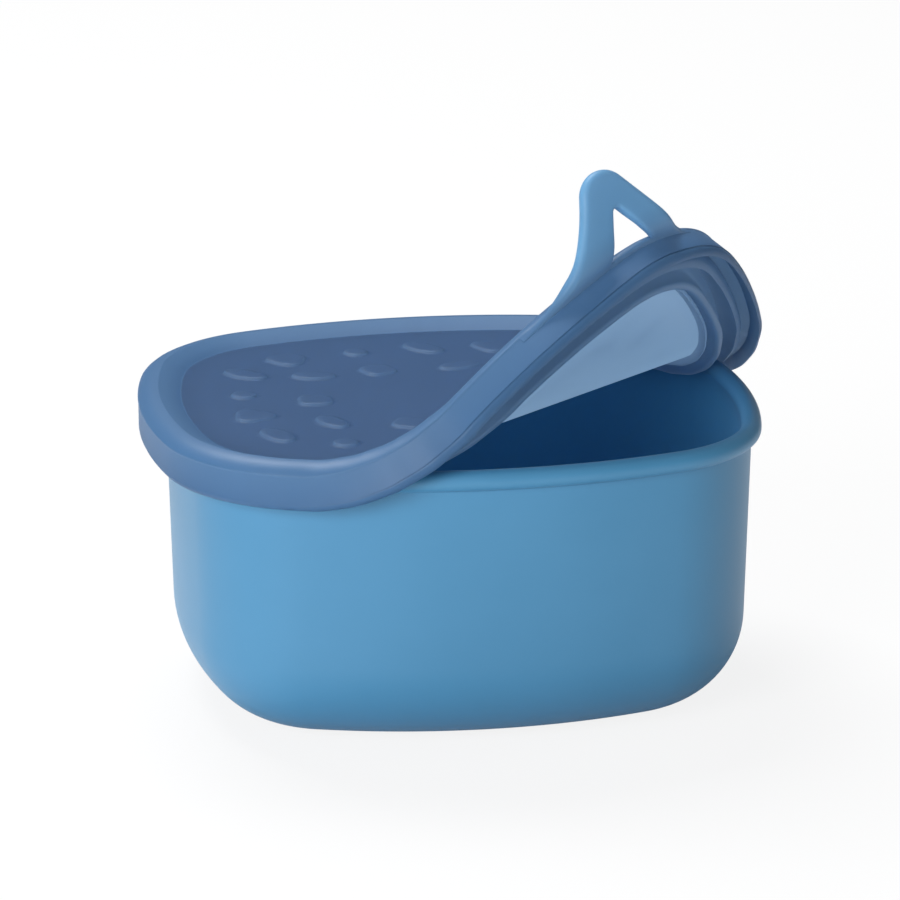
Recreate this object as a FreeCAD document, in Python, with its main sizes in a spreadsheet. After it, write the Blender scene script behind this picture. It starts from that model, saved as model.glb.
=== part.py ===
import FreeCAD, Part
import math
import os

import Sketcher
from FreeCAD import Placement, Rotation, Vector

# Driving dimensions, in millimetres and degrees.
# A "rise" or "depth" is measured from the top of the tub's rim, and an
# "inset" is measured inwards from the outer edge of the tub's rolled rim.
SIZES = {
    # Tub: a rounded oblong of eight arcs that run into each other smoothly.
    "tub_half_length": 65.0,
    "tub_half_width": 55.3,
    "tub_height": 63.9,
    "long_side_radius": 133.0,
    "short_side_radius": 117.0,
    "corner_radius": 32.2,
    "wall": 2.0,
    "wall_inset": 2.1,
    "wall_lean": 1.6,
    "base_round": 20.5,
    "floor": 2.5,
    "bead_radius": 2.2,
    # Lid: a skirt outside the rim, a plug inside it and a sunk panel.
    "rim_clearance": 0.4,
    "plug_clearance": 1.0,
    "skirt_wall": 3.5,
    "skirt_depth": 7.6,
    "shoulder_rise": 0.3,
    "shoulder_radius": 5.0,
    "crest_inset": 0.6,
    "crest_rise": 2.7,
    "slope_inset": 5.4,
    "panel_rise": 0.7,
    "panel_thickness": 2.0,
    "plug_depth": 5.6,
    "plug_wall": 2.1,
    "plug_taper": 21.0,
    # Pull loop: a rounded triangle with a hole, moulded in the lid's plane.
    "loop_swing": 19.5,
    "loop_reach": 12.3,
    "loop_tip_radius": 6.4,
    "loop_lean": 29.5,
    "loop_thickness": 3.0,
    "loop_depth": 1.3,
    "left_leg_width": 7.6,
    "right_leg_width": 6.3,
    "left_root_radius": 42.0,
    "right_root_radius": 16.0,
    "hole_inset": 0.8,
    "hole_round": 1.2,
    # Peel: straight folds across the lid, square to the peel direction, and
    # one fold across the loop's legs.
    "peel_azimuth": 48.0,
    "first_fold": 13.5,
    "fold_pitch": 6.0,
    "fold_turn": 13.0,
    "loop_fold": 2.5,
    "loop_turn": 46.0,
    "fold_gap": 0.2,
    "relief_share": 0.65,
}
LID_FOLDS = 5

# How far a cutting prism stands clear of what it cuts.
CUT_MARGIN = 10.0

# Expressions that several sub-parts share.
RIM_X = "Sizes.tub_half_length"
RIM_Z = "Sizes.tub_height"
BEAD_X = "(Sizes.tub_half_length - Sizes.bead_radius)"
BEAD_Z = "(Sizes.tub_height - Sizes.bead_radius)"
CHANNEL_RADIUS = "(Sizes.bead_radius + (Sizes.rim_clearance + Sizes.plug_clearance) / 2)"
CHANNEL_X = f"(Sizes.tub_half_length + Sizes.rim_clearance - {CHANNEL_RADIUS})"
CHANNEL_Z = f"(Sizes.tub_height + Sizes.rim_clearance - {CHANNEL_RADIUS})"
PLUG_FOOT = f"({RIM_Z} - Sizes.plug_depth + Sizes.plug_wall / 2)"
PLUG_LEAN = f"({CHANNEL_Z} - {PLUG_FOOT}) * tan(Sizes.plug_taper)"
PLUG_INSET = f"(2 * Sizes.bead_radius + Sizes.plug_clearance + {PLUG_LEAN})"
FOLD_Z = "(Sizes.tub_height + Sizes.panel_rise)"

doc = FreeCAD.newDocument("food_container")
sheet = doc.addObject("Spreadsheet::Sheet", "Sizes")
for row, (alias, value) in enumerate(SIZES.items(), start=1):
    sheet.set(f"A{row}", alias)
    sheet.set(f"B{row}", str(value))
    sheet.setAlias(f"B{row}", alias)
doc.recompute()


def size(alias):
    """Number held in the sheet's cell of that name."""
    return float(sheet.get(alias))


def worked_out(expression):
    """Value of an expression in sheet names, for a sketch's first geometry."""
    return float(sheet.evalExpression(expression))


def bearing(degrees):
    """Level unit vector at an angle from +X."""
    angle = math.radians(degrees)
    return Vector(math.cos(angle), math.sin(angle), 0)


def new_sketch(body, name, role, level="0"):
    """Sketch on an origin plane of a body, raised along the plane's normal."""
    sketch = body.newObject("Sketcher::SketchObject", name)
    plane = next(item for item in body.Origin.OriginFeatures if item.Role == role)
    sketch.AttachmentSupport = [(plane, "")]
    sketch.MapMode = "FlatFace"
    sketch.setExpression("AttachmentOffset.Base.z", level)
    return sketch


def constrain(sketch, expression, *terms):
    """Dimension whose value is bound to an expression."""
    index = sketch.addConstraint(Sketcher.Constraint(*terms, worked_out(expression)))
    sketch.setExpression(f"Constraints[{index}]", expression)


def pin(sketch, geometry, point, x, y):
    """Tie a point of a sketch to a pair of expressions."""
    for kind, expression in (("DistanceX", x), ("DistanceY", y)):
        if worked_out(expression) < 0:
            constrain(sketch, f"-({expression})", kind, geometry, point, -1, 1)
        else:
            constrain(sketch, expression, kind, -1, 1, geometry, point)


def arc(centre, start, end):
    """Arc from start to end, counterclockwise about a centre."""
    first = math.atan2(start.y - centre.y, start.x - centre.x)
    last = math.atan2(end.y - centre.y, end.x - centre.x)
    if last <= first:
        last += 2 * math.pi
    circle = Part.Circle(centre, Vector(0, 0, 1), (start - centre).Length)
    return Part.ArcOfCircle(circle, first, last)


def outline(sketch, points, arcs):
    """Closed outline through points, and the ends of each of its sides.

    arcs gives the centre of each side that is an arc and whether the outline
    runs clockwise there. A side is (geometry, start point, end point).
    """
    sides = []
    for index, start in enumerate(points):
        end = points[(index + 1) % len(points)]
        centre, clockwise = arcs.get(index, (None, False))
        if centre is None:
            sides.append((sketch.addGeometry(Part.LineSegment(start, end)), 1, 2))
        elif clockwise:
            sides.append((sketch.addGeometry(arc(centre, end, start)), 2, 1))
        else:
            sides.append((sketch.addGeometry(arc(centre, start, end)), 1, 2))
    for before, after in zip(sides, sides[1:] + sides[:1]):
        ends = (before[0], before[2], after[0], after[1])
        sketch.addConstraint(Sketcher.Constraint("Coincident", *ends))
    return sides


def pinned_outline(sketch, corners, arcs):
    """Closed outline whose corners are pairs of expressions."""
    points = [Vector(worked_out(x), worked_out(y), 0) for x, y in corners]
    sides = outline(sketch, points, arcs)
    for (geometry, start, end), (x, y) in zip(sides, corners):
        pin(sketch, geometry, start, x, y)
    return sides


def corner_centre():
    """Centre of the corner arc at +X +Y, which touches a long and a short side."""
    long_centre = Vector(0, size("tub_half_width") - size("long_side_radius"), 0)
    short_centre = Vector(size("tub_half_length") - size("short_side_radius"), 0, 0)
    long_reach = size("long_side_radius") - size("corner_radius")
    short_reach = size("short_side_radius") - size("corner_radius")
    across = short_centre - long_centre
    along = (across.Length**2 + long_reach**2 - short_reach**2) / (2 * across.Length)
    aside = math.sqrt(long_reach**2 - along**2)
    unit = across / across.Length
    return long_centre + unit * along + Vector(unit.y, -unit.x, 0) * aside


def oblong(body, name, inset, level, split=False):
    """Outline of eight arcs, inset from the rim's outer edge.

    A split outline starts and ends on the X axis, as the path of a sweep does.
    """
    sketch = new_sketch(body, name, "XY_Plane", level)
    inward = worked_out(inset)
    corner = corner_centre()
    long_y = size("tub_half_width") - size("long_side_radius")
    short_x = size("tub_half_length") - size("short_side_radius")
    low = math.atan2(corner.y, corner.x - short_x)
    high = math.atan2(corner.y - long_y, corner.x)
    half = math.pi
    sides = [
        (Vector(short_x, 0, 0), "short_side_radius", -low, low),
        (corner, "corner_radius", low, high),
        (Vector(0, long_y, 0), "long_side_radius", high, half - high),
        (Vector(-corner.x, corner.y, 0), "corner_radius", half - high, half - low),
        (Vector(-short_x, 0, 0), "short_side_radius", half - low, half + low),
        (Vector(-corner.x, -corner.y, 0), "corner_radius", half + low, half + high),
        (Vector(0, -long_y, 0), "long_side_radius", half + high, 2 * half - high),
        (Vector(corner.x, -corner.y, 0), "corner_radius", 2 * half - high, 2 * half - low),
    ]
    if split:
        centre, radius, start, end = sides[0]
        sides[0] = (centre, radius, 0, end)
        sides.append((centre, radius, 2 * half + start, 2 * half))
    for centre, radius, start, end in sides:
        circle = Part.Circle(centre, Vector(0, 0, 1), size(radius) - inward)
        sketch.addGeometry(Part.ArcOfCircle(circle, start, end))
    for number in range(8):
        constrain(sketch, f"Sizes.{sides[number][1]} - ({inset})", "Radius", number)
    for number in range(len(sides) - 1):
        sketch.addConstraint(Sketcher.Constraint("Tangent", number, 2, number + 1, 1))
    short_offset = "Sizes.tub_half_length - Sizes.short_side_radius"
    long_offset = "Sizes.tub_half_width - Sizes.long_side_radius"
    pin(sketch, 0, 3, short_offset, "0")
    pin(sketch, 2, 3, "0", long_offset)
    pin(sketch, 4, 3, f"-({short_offset})", "0")
    pin(sketch, 6, 3, "0", f"-({long_offset})")
    if split:
        sketch.addConstraint(Sketcher.Constraint("PointOnObject", 0, 1, -1))
        sketch.addConstraint(Sketcher.Constraint("Coincident", 8, 2, 0, 1))
        sketch.addConstraint(Sketcher.Constraint("Coincident", 8, 3, 0, 3))
    else:
        sketch.addConstraint(Sketcher.Constraint("Tangent", 7, 2, 0, 1))
    return sketch


def sweep(body, name, section, path):
    """Section carried round a level closed path, upright all the way."""
    doc.recompute()
    pipe = body.newObject("PartDesign::AdditivePipe", name)
    pipe.Profile = section
    pipe.Spine = (path, [f"Edge{i + 1}" for i in range(len(path.Shape.Edges))])
    doc.recompute()
    return pipe


def level_pad(body, name, sketch, thickness):
    """Plate of a thickness on a level sketch, built upwards."""
    pad = body.newObject("PartDesign::Pad", name)
    pad.Profile = sketch
    pad.setExpression("Length", thickness)
    doc.recompute()
    return pad


def wall_section(body):
    """Section of the tub's leaning wall, its base round and the edge of its floor."""
    sketch = new_sketch(body, "wall_section", "XZ_Plane")
    lean = f"(Sizes.wall_lean / {BEAD_Z})"
    slant = f"sqrt(1 + {lean} * {lean})"
    outer_foot = f"({RIM_X} - Sizes.wall_inset - Sizes.wall_lean)"
    inner_foot = f"({outer_foot} - Sizes.wall * {slant})"
    inner_round = "(Sizes.base_round - Sizes.wall)"
    outer_z = "Sizes.base_round"
    inner_z = f"(Sizes.floor + {inner_round})"
    outer_x = f"({outer_foot} + {outer_z} * {lean} - Sizes.base_round * {slant})"
    inner_x = f"({inner_foot} + {inner_z} * {lean} - {inner_round} * {slant})"
    floor_edge = f"({outer_x} - 2 * Sizes.wall)"
    corners = [
        (f"{RIM_X} - Sizes.wall_inset", BEAD_Z),
        (f"{RIM_X} - Sizes.wall_inset - Sizes.wall * {slant}", BEAD_Z),
        (f"{inner_x} + {inner_round} / {slant}", f"{inner_z} - {inner_round} * {lean} / {slant}"),
        (inner_x, "Sizes.floor"),
        (floor_edge, "Sizes.floor"),
        (floor_edge, "0"),
        (outer_x, "0"),
        (f"{outer_x} + Sizes.base_round / {slant}", f"{outer_z} - Sizes.base_round * {lean} / {slant}"),
    ]
    inner_centre = Vector(worked_out(inner_x), worked_out(inner_z), 0)
    outer_centre = Vector(worked_out(outer_x), worked_out(outer_z), 0)
    sides = pinned_outline(sketch, corners, {2: (inner_centre, True), 6: (outer_centre, False)})
    constrain(sketch, inner_round, "Radius", sides[2][0])
    constrain(sketch, "Sizes.base_round", "Radius", sides[6][0])
    return sketch, f"{RIM_X} - {floor_edge} - Sizes.wall"


def make_tub():
    """Thin moulded tub: leaning wall, wide base round, flat floor and rolled rim."""
    body = doc.addObject("PartDesign::Body", "tub")
    section, floor_inset = wall_section(body)
    sweep(body, "wall", section, oblong(body, "wall_path", "0", "0", split=True))
    level_pad(body, "floor_plate", oblong(body, "floor_outline", floor_inset, "0"), "Sizes.floor")

    section = new_sketch(body, "bead_section", "XZ_Plane")
    centre = Vector(worked_out(BEAD_X), worked_out(BEAD_Z), 0)
    ring = section.addGeometry(Part.Circle(centre, Vector(0, 0, 1), size("bead_radius")))
    constrain(section, "Sizes.bead_radius", "Radius", ring)
    pin(section, ring, 3, BEAD_X, BEAD_Z)
    sweep(body, "bead", section, oblong(body, "bead_path", "Sizes.bead_radius", BEAD_Z, split=True))
    return body


def ring_section(body):
    """Section of the lid's edge: skirt, shoulder, crest, plug and the rim's channel."""
    sketch = new_sketch(body, "ring_section", "XZ_Plane")
    skirt_in = f"{RIM_X} + Sizes.rim_clearance"
    skirt_out = f"{skirt_in} + Sizes.skirt_wall"
    skirt_foot = f"{RIM_Z} - Sizes.skirt_depth + Sizes.skirt_wall / 2"
    plug_out = f"{RIM_X} - {PLUG_INSET}"
    plug_in = f"{plug_out} - Sizes.plug_wall"
    corners = [
        (skirt_out, skirt_foot),
        (skirt_out, f"{RIM_Z} + Sizes.shoulder_rise"),
        (f"{RIM_X} - Sizes.crest_inset", f"{RIM_Z} + Sizes.crest_rise"),
        (f"{RIM_X} - Sizes.slope_inset", FOLD_Z),
        (plug_in, FOLD_Z),
        (plug_in, PLUG_FOOT),
        (plug_out, PLUG_FOOT),
        (f"{CHANNEL_X} - {CHANNEL_RADIUS}", CHANNEL_Z),
        (skirt_in, CHANNEL_Z),
        (skirt_in, skirt_foot),
    ]
    shoulder, crest = (Vector(worked_out(x), worked_out(z), 0) for x, z in corners[1:3])
    chord = crest - shoulder
    sag = math.sqrt(size("shoulder_radius") ** 2 - chord.Length**2 / 4)
    shoulder_centre = (shoulder + crest) / 2 + Vector(-chord.y, chord.x, 0) / chord.Length * sag
    half_wall = f"({skirt_in} + {skirt_out}) / 2"
    half_plug = f"({plug_in} + {plug_out}) / 2"
    arcs = {
        1: (shoulder_centre, False),
        5: (Vector(worked_out(half_plug), worked_out(PLUG_FOOT), 0), False),
        7: (Vector(worked_out(CHANNEL_X), worked_out(CHANNEL_Z), 0), True),
        9: (Vector(worked_out(half_wall), worked_out(skirt_foot), 0), False),
    }
    sides = pinned_outline(sketch, corners, arcs)
    constrain(sketch, "Sizes.shoulder_radius", "Radius", sides[1][0])
    for side, level in ((5, PLUG_FOOT), (7, CHANNEL_Z), (9, skirt_foot)):
        constrain(sketch, level, "DistanceY", -1, 1, sides[side][0], 3)
    return sketch


def loop_corner():
    """Centre of the lid's corner that carries the pull loop."""
    corner = corner_centre()
    return Vector(corner.x, -corner.y, 0)


def skirt_radius(side):
    """Radius of the skirt's outer face along an arc of the lid's outline."""
    return size(side) + size("rim_clearance") + size("skirt_wall")


def loop_sketch(body):
    """Pull loop: two leaning legs that run to a rounded tip.

    The left leg grows out of the lid's long side and the right leg out of its
    corner, each with a hollow round at its root.
    """
    sketch = new_sketch(body, "loop_outline", "XY_Plane", f"{RIM_Z} - Sizes.loop_depth")
    corner = loop_corner()
    front = Vector(0, size("long_side_radius") - size("tub_half_width"), 0)
    corner_ring = skirt_radius("corner_radius")
    front_ring = skirt_radius("long_side_radius")
    tip_radius = size("loop_tip_radius")
    hole_round = size("hole_round")
    hole_foot = corner_ring + size("hole_inset")
    lean = size("loop_lean")
    ahead = -size("peel_azimuth") - size("loop_swing")
    tip = corner + bearing(ahead) * (corner_ring + size("loop_reach"))

    legs = []
    for side, name, centre, ring in ((-1, "left", front, front_ring), (1, "right", corner, corner_ring)):
        outward = bearing(ahead + side * (90 - lean))
        along = bearing(ahead - side * lean)
        radius = size(f"{name}_root_radius")
        aside = (tip - centre).dot(outward) + tip_radius + radius
        root = centre + outward * aside + along * math.sqrt((ring + radius) ** 2 - aside**2)
        hole_edge = (tip - corner).dot(outward) + tip_radius - size(f"{name}_leg_width")
        foot = corner + outward * hole_edge + along * math.sqrt(hole_foot**2 - hole_edge**2)
        legs.append((outward, root, (root - centre) / (ring + radius), radius, hole_edge - hole_round, foot))
    (out_left, root_left, to_left, radius_left, round_left, foot_left) = legs[0]
    (out_right, root_right, to_right, radius_right, round_right, foot_right) = legs[1]

    sunk = size("skirt_wall") / 2
    to_joint = (corner - front) / (corner - front).Length
    points = [
        front + to_left * front_ring,
        root_left - out_left * radius_left,
        tip + out_left * tip_radius,
        tip + out_right * tip_radius,
        root_right - out_right * radius_right,
        corner + to_right * corner_ring,
        corner + to_right * (corner_ring - sunk),
        corner + to_joint * (corner_ring - sunk),
        front + to_left * (front_ring - sunk),
    ]
    arcs = {
        0: (root_left, True),
        2: (tip, False),
        4: (root_right, True),
        6: (corner, True),
        7: (front, True),
    }
    sides = outline(sketch, points, arcs)
    constrain(sketch, "Sizes.left_root_radius", "Radius", sides[0][0])
    constrain(sketch, "Sizes.loop_tip_radius", "Radius", sides[2][0])
    constrain(sketch, "Sizes.right_root_radius", "Radius", sides[4][0])

    slant = math.radians(lean)
    apex = corner + bearing(ahead) * ((round_left + round_right) / (2 * math.sin(slant)))
    apex += bearing(ahead + 90) * ((round_right - round_left) / (2 * math.cos(slant)))
    points = [foot_left, apex + out_left * hole_round, apex + out_right * hole_round, foot_right]
    sides = outline(sketch, points, {1: (apex, False), 3: (corner, True)})
    constrain(sketch, "Sizes.hole_round", "Radius", sides[1][0])
    return sketch


def make_flat_lid():
    """The whole lid as it is moulded, turned so that it peels along +X."""
    body = doc.addObject("PartDesign::Body", "flat_lid")
    section = ring_section(body)
    sweep(body, "ring", section, oblong(body, "ring_path", "0", RIM_Z, split=True))

    panel_inset = f"{PLUG_INSET} + Sizes.plug_wall / 2"
    panel_outline = oblong(body, "panel_outline", panel_inset, f"{FOLD_Z} - Sizes.panel_thickness")
    level_pad(body, "panel", panel_outline, "Sizes.panel_thickness")
    level_pad(body, "loop", loop_sketch(body), "Sizes.loop_thickness")
    body.Placement = Placement(Vector(), Rotation(Vector(0, 0, 1), size("peel_azimuth")))
    body.setExpression("Placement.Rotation.Angle", "Sizes.peel_azimuth")
    doc.recompute()
    return body


def lid_folds():
    """Folds of the lid, as (x, y, heading, turn) in the frame of the flat lid.

    A fold line runs through (x, y), square to its heading, and what lies
    ahead of it is turned up.
    """
    folds = []
    for number in range(LID_FOLDS):
        folds.append((f"(Sizes.first_fold + {number} * Sizes.fold_pitch)", "0", "0", "Sizes.fold_turn"))
    root = Rotation(Vector(0, 0, 1), size("peel_azimuth")).multVec(loop_corner())
    root += bearing(-size("loop_swing")) * (skirt_radius("corner_radius") + size("loop_fold"))
    folds.append((str(root.x), str(root.y), "-Sizes.loop_swing", "Sizes.loop_turn"))
    return folds


def beside_fold(name, fold, side):
    """Prism over all that lies ahead of a fold or behind it, leaning away above the fold line."""
    x, y, heading, turn = fold
    low = f"-(Sizes.skirt_depth + Sizes.panel_rise + {CUT_MARGIN})"
    high = f"(Sizes.crest_rise - Sizes.panel_rise + {CUT_MARGIN})"
    far = f"(2 * Sizes.tub_half_length + {CUT_MARGIN})"
    edge = "Sizes.fold_gap / 2"
    lean = f"{high} * tan(Sizes.relief_share * {turn})"
    distances = [(far, high), (far, low), (edge, low), (edge, "0"), (f"{edge} + {lean}", high)]
    corners = [(f"{side} * ({distance})", level) for distance, level in distances]
    sketch = doc.addObject("Sketcher::SketchObject", f"{name}_outline")
    place = f"create(<<vector>>; {x}; {y}; {FOLD_Z})"
    turned = f"create(<<rotation>>; create(<<vector>>; 0; 0; 1); {heading})"
    upright = "create(<<rotation>>; create(<<vector>>; 1; 0; 0); 90)"
    sketch.setExpression("Placement", f"create(<<placement>>; {place}; {turned} * {upright})")
    pinned_outline(sketch, corners, {})
    prism = doc.addObject("Part::Extrusion", name)
    prism.Base = sketch
    prism.DirMode = "Normal"
    prism.Solid = True
    prism.Symmetric = True
    prism.setExpression("LengthFwd", f"2 * {far}")
    return prism


def common(name, base, tool):
    """What two shapes share."""
    shared = doc.addObject("Part::Common", name)
    shared.Base = base
    shared.Tool = tool
    return shared


def make_lid_stretches(flat_lid):
    """The lid cut at its folds, each stretch turned up from the one before it."""
    folds = lid_folds()
    names = ["lid_base"] + [f"lid_strip_{k}" for k in range(1, LID_FOLDS)] + ["lid_corner", "lid_loop"]
    stretches = []
    for number, name in enumerate(names):
        regions = []
        if number > 0:
            regions.append(beside_fold(f"{name}_start", folds[number - 1], 1))
        if number < len(folds):
            regions.append(beside_fold(f"{name}_end", folds[number], -1))
        region = regions[0] if len(regions) == 1 else common(f"{name}_region", *regions)
        stretch = common(name, flat_lid, region)
        if number == 0:
            stretch.Placement = Placement(Vector(), Rotation(Vector(0, 0, 1), -size("peel_azimuth")))
            stretch.setExpression("Placement.Rotation.Angle", "-Sizes.peel_azimuth")
        else:
            x, y, heading, turn = folds[number - 1]
            axis = f"create(<<vector>>; sin({heading}); -cos({heading}); 0)"
            centre = f"create(<<vector>>; {x}; {y}; {FOLD_Z})"
            nowhere = "create(<<vector>>; 0; 0; 0)"
            fold = f"create(<<placement>>; {nowhere}; create(<<rotation>>; {axis}; {turn}); {centre})"
            stretch.setExpression("Placement", f"{names[number - 1]}.Placement * {fold}")
        stretches.append(stretch)
    doc.recompute()
    return stretches


subparts = [make_tub()] + make_lid_stretches(make_flat_lid())
doc.recompute()

for item in doc.Objects:
    if "Invalid" in item.State or "Error" in item.State:
        raise RuntimeError(f"{item.Name} did not build: {item.State}")
for subpart in subparts:
    if subpart.Shape.isNull() or not subpart.Shape.isValid():
        raise RuntimeError(f"{subpart.Label} has no valid shape")

os.makedirs("parts", exist_ok=True)
for subpart in subparts:
    subpart.Shape.exportStep(f"parts/{subpart.Label}.step")
    print(subpart.Label, len(subpart.Shape.Solids), "solid", round(subpart.Shape.Volume), "mm3")
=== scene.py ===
import math
from collections import namedtuple

import bmesh
import bpy
import numpy as np
from mathutils import Matrix, Vector
from mathutils.geometry import delaunay_2d_cdt


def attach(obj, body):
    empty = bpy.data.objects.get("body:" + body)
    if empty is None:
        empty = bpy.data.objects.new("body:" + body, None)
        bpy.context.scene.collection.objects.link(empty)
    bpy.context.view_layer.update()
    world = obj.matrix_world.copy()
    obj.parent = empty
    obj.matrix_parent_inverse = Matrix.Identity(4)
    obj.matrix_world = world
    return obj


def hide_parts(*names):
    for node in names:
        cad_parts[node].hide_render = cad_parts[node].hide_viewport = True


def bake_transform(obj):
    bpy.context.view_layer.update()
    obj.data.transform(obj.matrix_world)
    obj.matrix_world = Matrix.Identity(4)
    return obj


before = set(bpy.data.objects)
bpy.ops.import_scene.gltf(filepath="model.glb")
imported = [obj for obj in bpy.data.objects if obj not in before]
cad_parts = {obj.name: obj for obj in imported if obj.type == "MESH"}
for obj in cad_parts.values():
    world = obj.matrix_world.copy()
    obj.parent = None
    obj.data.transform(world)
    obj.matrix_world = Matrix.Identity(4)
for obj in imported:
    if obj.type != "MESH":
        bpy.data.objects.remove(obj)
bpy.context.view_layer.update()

MM = 0.001

# Sizes of the part, in millimetres and degrees. A rise or depth is measured from the top of
# the tub's rim, and an inset inwards from the rim's outer edge.
HALF_LENGTH, HALF_WIDTH, HEIGHT = 65.0, 55.3, 63.9
LONG_RADIUS, SHORT_RADIUS, CORNER_RADIUS = 133.0, 117.0, 32.2
WALL, WALL_INSET, WALL_LEAN = 2.0, 2.1, 1.6
BASE_ROUND, FLOOR, BEAD, CREASE = 20.5, 2.5, 2.2, 0.4
RIM_CLEARANCE, PLUG_CLEARANCE = 0.4, 1.0
SKIRT_WALL, SKIRT_DEPTH = 3.5, 7.6
SHOULDER_RISE, SHOULDER_RADIUS = 0.3, 5.0
CREST_INSET, CREST_RISE, SLOPE_INSET = 0.6, 2.7, 5.4
PANEL_RISE, PANEL_THICKNESS, PANEL_INSET = 0.7, 2.0, 9.6
PLUG_DEPTH, PLUG_TOE_INSET, PLUG_BACK_INSET = 5.6, 6.4, 8.29
LOOP_REACH, LOOP_TIP, LOOP_LEAN = 12.3, 6.4, 29.5
LOOP_LOW, LOOP_HIGH = -1.3, 1.7
LEFT_LEG, RIGHT_LEG, LEFT_ROOT, RIGHT_ROOT = 7.6, 6.3, 42.0, 16.0
HOLE_INSET, HOLE_ROUND = 0.8, 1.2
PEEL_BEARING, FIRST_FOLD, FOLD_PITCH, FOLD_TURN = -48.0, 13.5, 6.0, 13.0
LOOP_BEARING, LOOP_FOLD, LOOP_TURN, LOOP_BEND = -67.5, 2.5, 46.0, 4.5
FOLD_Z = HEIGHT + PANEL_RISE
LID_FOLDS = 5
BODIES = ["lid_base"] + [f"lid_strip_{k}" for k in range(1, LID_FOLDS)] + ["lid_corner", "lid_loop"]
# The bodies that each piece of the lid is drawn for: the last but one carries the corner too.
REPLACED = [[body] for body in BODIES[:-3]] + [BODIES[-3:-1], BODIES[-1:]]

# Spacing of the meshes' points, in millimetres, and the share of it that a sheet's inner
# points keep off its boundary.
RIM_STEP, TUB_PITCH, PANEL_PITCH, UNDERSIDE_PITCH = 0.95, 3.0, 1.3, 2.2
LOOP_STEP, LOOP_PITCH, LOOP_CLEAR = 0.8, 0.9, 0.5
BOUNDARY_SHARE = 0.6
# Steps in a quarter turn of a rounded corner, and the half angle of a corner that is straight.
QUARTER_STEPS, STRAIGHT = 6, math.radians(89.5)
# Distance in metres within which points of a mesh are one.
MERGE = 1e-7
# Kind of result and closeness asked of the triangulation.
FILL_INSIDE, FILL_CLOSENESS = 1, 1e-7
TUB_SHARP, LID_SHARP = math.radians(42), math.radians(65)


# Shared geometry.
def level(degrees):
    """Level unit vector at an angle from +X."""
    angle = math.radians(degrees)
    return np.array([math.cos(angle), math.sin(angle)])


def bearing_of(vector):
    """Angle of a level vector from +X, in degrees."""
    return math.degrees(math.atan2(vector[1], vector[0]))


def smooth(share):
    """A share from 0 to 1 that starts and ends gently."""
    return share * share * (3 - 2 * share)


def corner_centre():
    """Centre of the rim's corner arc at +X +Y."""
    long_centre = np.array([0.0, HALF_WIDTH - LONG_RADIUS])
    across = np.array([HALF_LENGTH - SHORT_RADIUS, 0.0]) - long_centre
    span = np.linalg.norm(across)
    long_reach = LONG_RADIUS - CORNER_RADIUS
    short_reach = SHORT_RADIUS - CORNER_RADIUS
    along = (span**2 + long_reach**2 - short_reach**2) / (2 * span)
    aside = math.sqrt(long_reach**2 - along**2)
    unit = across / span
    return long_centre + unit * along + np.array([unit[1], -unit[0]]) * aside


def rim_line():
    """Points round the rim's outer edge and the level outward normals there."""
    corner = corner_centre()
    short_x = HALF_LENGTH - SHORT_RADIUS
    long_y = HALF_WIDTH - LONG_RADIUS
    low = math.atan2(corner[1], corner[0] - short_x)
    high = math.atan2(corner[1] - long_y, corner[0])
    half = math.pi
    arcs = [
        (short_x, 0, SHORT_RADIUS, -low, low),
        (corner[0], corner[1], CORNER_RADIUS, low, high),
        (0, long_y, LONG_RADIUS, high, half - high),
        (-corner[0], corner[1], CORNER_RADIUS, half - high, half - low),
        (-short_x, 0, SHORT_RADIUS, half - low, half + low),
        (-corner[0], -corner[1], CORNER_RADIUS, half + low, half + high),
        (0, -long_y, LONG_RADIUS, half + high, 2 * half - high),
        (corner[0], -corner[1], CORNER_RADIUS, 2 * half - high, 2 * half - low),
    ]
    points, normals = [], []
    for x, y, radius, start, end in arcs:
        count = round(radius * (end - start) / RIM_STEP)
        for angle in np.linspace(start, end, count, endpoint=False):
            normal = np.array([math.cos(angle), math.sin(angle)])
            points.append(np.array([x, y]) + radius * normal)
            normals.append(normal)
    return np.array(points), np.array(normals)


RIM, RIM_NORMALS = rim_line()


def arc_points(centre, radius, start, end, count):
    """Points on an arc, from one angle to another in degrees."""
    return [centre + radius * level(angle) for angle in np.linspace(start, end, count)]


def rounded(keys):
    """Open line through (x, z, radius) corners, each rounded by its radius."""
    line = [np.array(keys[0][:2])]
    for before, (x, z, radius), after in zip(keys, keys[1:], keys[2:]):
        corner = np.array([x, z])
        back = np.array(before[:2]) - corner
        ahead = np.array(after[:2]) - corner
        back /= np.linalg.norm(back)
        ahead /= np.linalg.norm(ahead)
        half = math.acos(max(-1.0, min(1.0, back @ ahead))) / 2
        if radius == 0 or half > STRAIGHT:
            line.append(corner)
            continue
        middle = back + ahead
        centre = corner + middle / np.linalg.norm(middle) * radius / math.sin(half)
        start = corner + back * radius / math.tan(half) - centre
        turn = math.pi - 2 * half
        sign = 1 if start[0] * ahead[1] - start[1] * ahead[0] > 0 else -1
        count = max(2, round(QUARTER_STEPS * turn / (math.pi / 2)))
        for angle in np.linspace(0, sign * turn, count + 1):
            c, s = math.cos(angle), math.sin(angle)
            line.append(centre + np.array([c * start[0] - s * start[1], s * start[0] + c * start[1]]))
    line.append(np.array(keys[-1][:2]))
    return np.array(line)


def swept(section):
    """Vertices and faces of a section of (outward, z) points carried round the rim."""
    count, width = len(RIM), len(section)
    verts = np.empty((count, width, 3))
    verts[:, :, :2] = RIM[:, None] + section[None, :, :1] * RIM_NORMALS[:, None]
    verts[:, :, 2] = section[None, :, 1]
    faces = []
    for i in range(count):
        a, b = i * width, (i + 1) % count * width
        faces += [(a + j, b + j, b + j + 1, a + j + 1) for j in range(width - 1)]
    return verts.reshape(-1, 3), faces


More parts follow.
